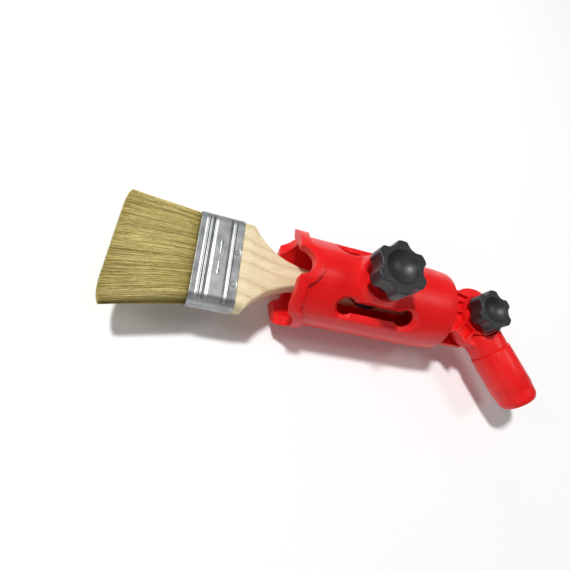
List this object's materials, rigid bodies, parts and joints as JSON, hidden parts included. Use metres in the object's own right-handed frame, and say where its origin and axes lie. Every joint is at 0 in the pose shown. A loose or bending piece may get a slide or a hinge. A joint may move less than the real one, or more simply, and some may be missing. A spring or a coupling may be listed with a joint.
{
  "type": "paint brush extender",
  "caption": "Swivelling extension-pole holder whose clamp tube grips the handle of a flat paint brush, with star knobs for the clamp and the swivel.",
  "frame": {"origin": "centre of the pole socket's mouth", "axes": "+X along the clamp tube towards the bristles, +Z out of the knobs, +Y completes the right-handed frame"},
  "size_m": [0.2778, 0.0874, 0.0748],
  "materials": {
    "red_plastic": "glossy moulded plastic, fine moulded grain",
    "knob_plastic": "satin moulded plastic",
    "pad_plastic": "satin",
    "facing_rubber": "matt rubber",
    "zinc_steel": "bright zinc plate",
    "spring_steel": "dark phosphated spring steel",
    "washer_nylon": "natural nylon",
    "insert_brass": "machined brass",
    "handle_wood": "plain sanded birch",
    "tinned_steel": "satin tinplate with rolled ridges",
    "nail_steel": "plain steel",
    "epoxy": "set epoxy",
    "divider_wood": "rough wood",
    "bristle": "natural bristle"
  },
  "bodies": {
    "pole_end": {"pole_socket": "red_plastic"},
    "holder": {"clamp_tube": "red_plastic", "clamp_nut": "zinc_steel", "pivot_bolt": "zinc_steel", "friction_washers": "washer_nylon"},
    "swivel_washer": {"pivot_washer": "zinc_steel"},
    "swivel_screw": {"pivot_knob": "knob_plastic", "pivot_knob_insert": "insert_brass"},
    "clamp_foot": {"pressure_pad": "pad_plastic", "pad_facing": "facing_rubber", "pad_clip": "spring_steel"},
    "clamp_screw": {"clamp_knob": "knob_plastic", "clamp_knob_core": "zinc_steel", "clamp_stud": "zinc_steel"},
    "brush": {"brush_handle": "handle_wood", "ferrule": "tinned_steel", "ferrule_nails": "nail_steel", "epoxy_set": "epoxy", "bristle_divider": "divider_wood", "bristle_front": "bristle", "bristle_back": "bristle"}
  },
  "joints": [
    {"name": "swivel", "type": "hinge", "parent": "pole_end", "child": "holder", "pos_m": [0.03556, -0.05079, 0], "axis": [0, 0, 1], "range_deg": [-115, 5]},
    {"name": "swivel_screw_lift", "type": "slide", "parent": "holder", "child": "swivel_washer", "axis": [0, 0, 1], "range_m": [0, 0.003]},
    {"name": "swivel_screw_spin", "type": "hinge", "parent": "swivel_washer", "child": "swivel_screw", "pos_m": [0.03556, -0.05079, 0], "axis": [0, 0, 1], "range_deg": [0, 1085]},
    {"name": "clamp_travel", "type": "slide", "parent": "holder", "child": "clamp_foot", "axis": [0, 0, 1], "range_m": [0, 0.00625]},
    {"name": "clamp_screw_spin", "type": "hinge", "parent": "clamp_foot", "child": "clamp_screw", "pos_m": [0.12086, -0.05079, 0], "axis": [0, 0, 1], "range_deg": [0, 1805]},
    {"name": "brush_slide", "type": "slide", "parent": "holder", "child": "brush", "axis": [1, 0, 0], "range_m": [-0.007, 0.09]}
  ],
  "couplings": [
    {"joint": "clamp_screw_spin", "follows": "clamp_travel", "rad_per_m": 5026.5},
    {"joint": "swivel_screw_spin", "follows": "swivel_screw_lift", "rad_per_m": 6283.2}
  ]
}
